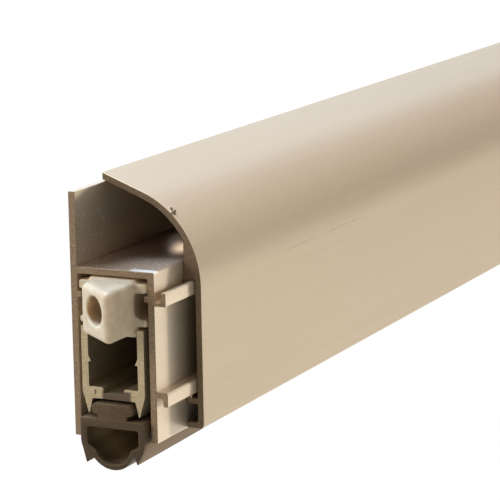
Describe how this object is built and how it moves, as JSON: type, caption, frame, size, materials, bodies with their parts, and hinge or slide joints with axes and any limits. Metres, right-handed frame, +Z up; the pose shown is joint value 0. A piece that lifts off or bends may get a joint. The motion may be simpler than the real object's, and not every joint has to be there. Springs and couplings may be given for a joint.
{
  "type": "automatic door bottom seal",
  "caption": "Surface-mounted drop seal for the foot of a door: pressing the bevelled nose at the hinge end bows flat springs that push a hollow rubber gasket down to the floor.",
  "frame": {"origin": "middle of the row of fixing holes, on the back face that lies against the door", "axes": "+X along the door away from the nose, +Y out of the back face into the door, +Z up"},
  "size_m": [0.4381, 0.0183, 0.0462],
  "materials": {
    "champagne_anodised": "satin anodised",
    "mill_aluminium": "plain extruded",
    "white_nylon": "moulded",
    "zinc_steel": "zinc plated",
    "spring_steel": "rolled strip",
    "dark_rubber": "matt extruded"
  },
  "bodies": {
    "housing": {"base_profile": "champagne_anodised", "clip_on_cover": "champagne_anodised", "front_anchor_block": "white_nylon", "front_anchor_rivet": "zinc_steel", "front_anchor_pin": "zinc_steel", "rear_anchor_block": "white_nylon", "rear_anchor_rivet": "zinc_steel", "rear_anchor_pin": "zinc_steel"},
    "actuator": {"actuator_nose": "white_nylon", "push_bar": "mill_aluminium", "nose_rivet": "zinc_steel", "front_slide_shoe": "white_nylon", "front_shoe_rivet": "zinc_steel", "front_shoe_pin": "zinc_steel", "rear_slide_shoe": "white_nylon", "rear_shoe_rivet": "zinc_steel", "rear_shoe_pin": "zinc_steel"},
    "seal_bar": {"carrier_profile": "mill_aluminium", "seal_gasket": "dark_rubber", "front_bow_spring": "spring_steel", "front_saddle": "white_nylon", "front_saddle_rivet": "zinc_steel", "rear_bow_spring": "spring_steel", "rear_saddle": "white_nylon", "rear_saddle_rivet": "zinc_steel"}
  },
  "joints": [
    {"name": "actuator_push", "type": "slide", "parent": "housing", "child": "actuator", "axis": [1, 0, 0], "range_m": [0, 0.006], "stiffness_N_per_m": 3000, "springref_m": -0.004},
    {"name": "seal_drop", "type": "slide", "parent": "housing", "child": "seal_bar", "axis": [0, 0, -1], "range_m": [0, 0.01], "deforming": ["front_bow_spring", "rear_bow_spring"]}
  ],
  "couplings": [
    {"joint": "seal_drop", "follows": "actuator_push", "ratio": 1.6666}
  ]
}
